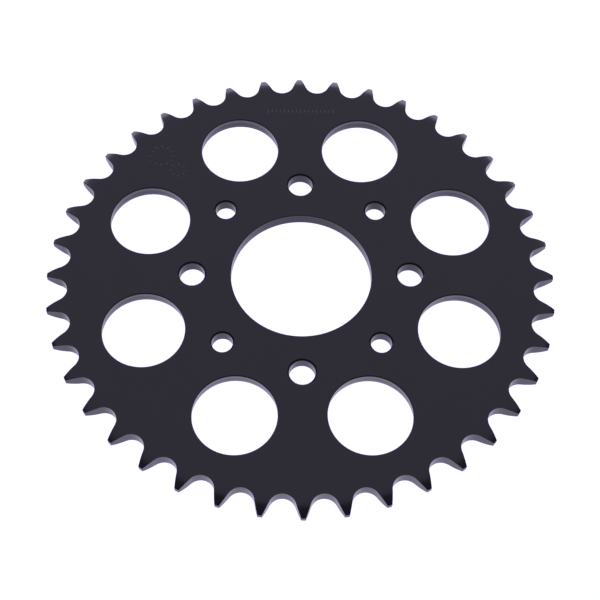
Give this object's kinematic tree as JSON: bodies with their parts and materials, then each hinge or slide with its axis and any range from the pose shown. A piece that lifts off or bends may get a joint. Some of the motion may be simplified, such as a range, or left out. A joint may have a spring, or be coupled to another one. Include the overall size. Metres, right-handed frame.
{
  "type": "motorcycle rear sprocket",
  "caption": "Flat black steel rear sprocket for a motorcycle chain, with a centre bore, two sets of bolt holes and round lightening holes.",
  "frame": {"origin": "on the centre bore's axis, on the hub-side face that it lies on", "axes": "+Z along the bore's axis, from the hub-side face to the outer face; +X through the middle of a tooth and of a large bolt hole; +Y through the next large bolt hole"},
  "size_m": [0.2094, 0.2094, 0.0058],
  "materials": {
    "black_coat": "satin"
  },
  "bodies": {
    "root": {"sprocket_plate": "black_coat"}
  },
  "joints": []
}
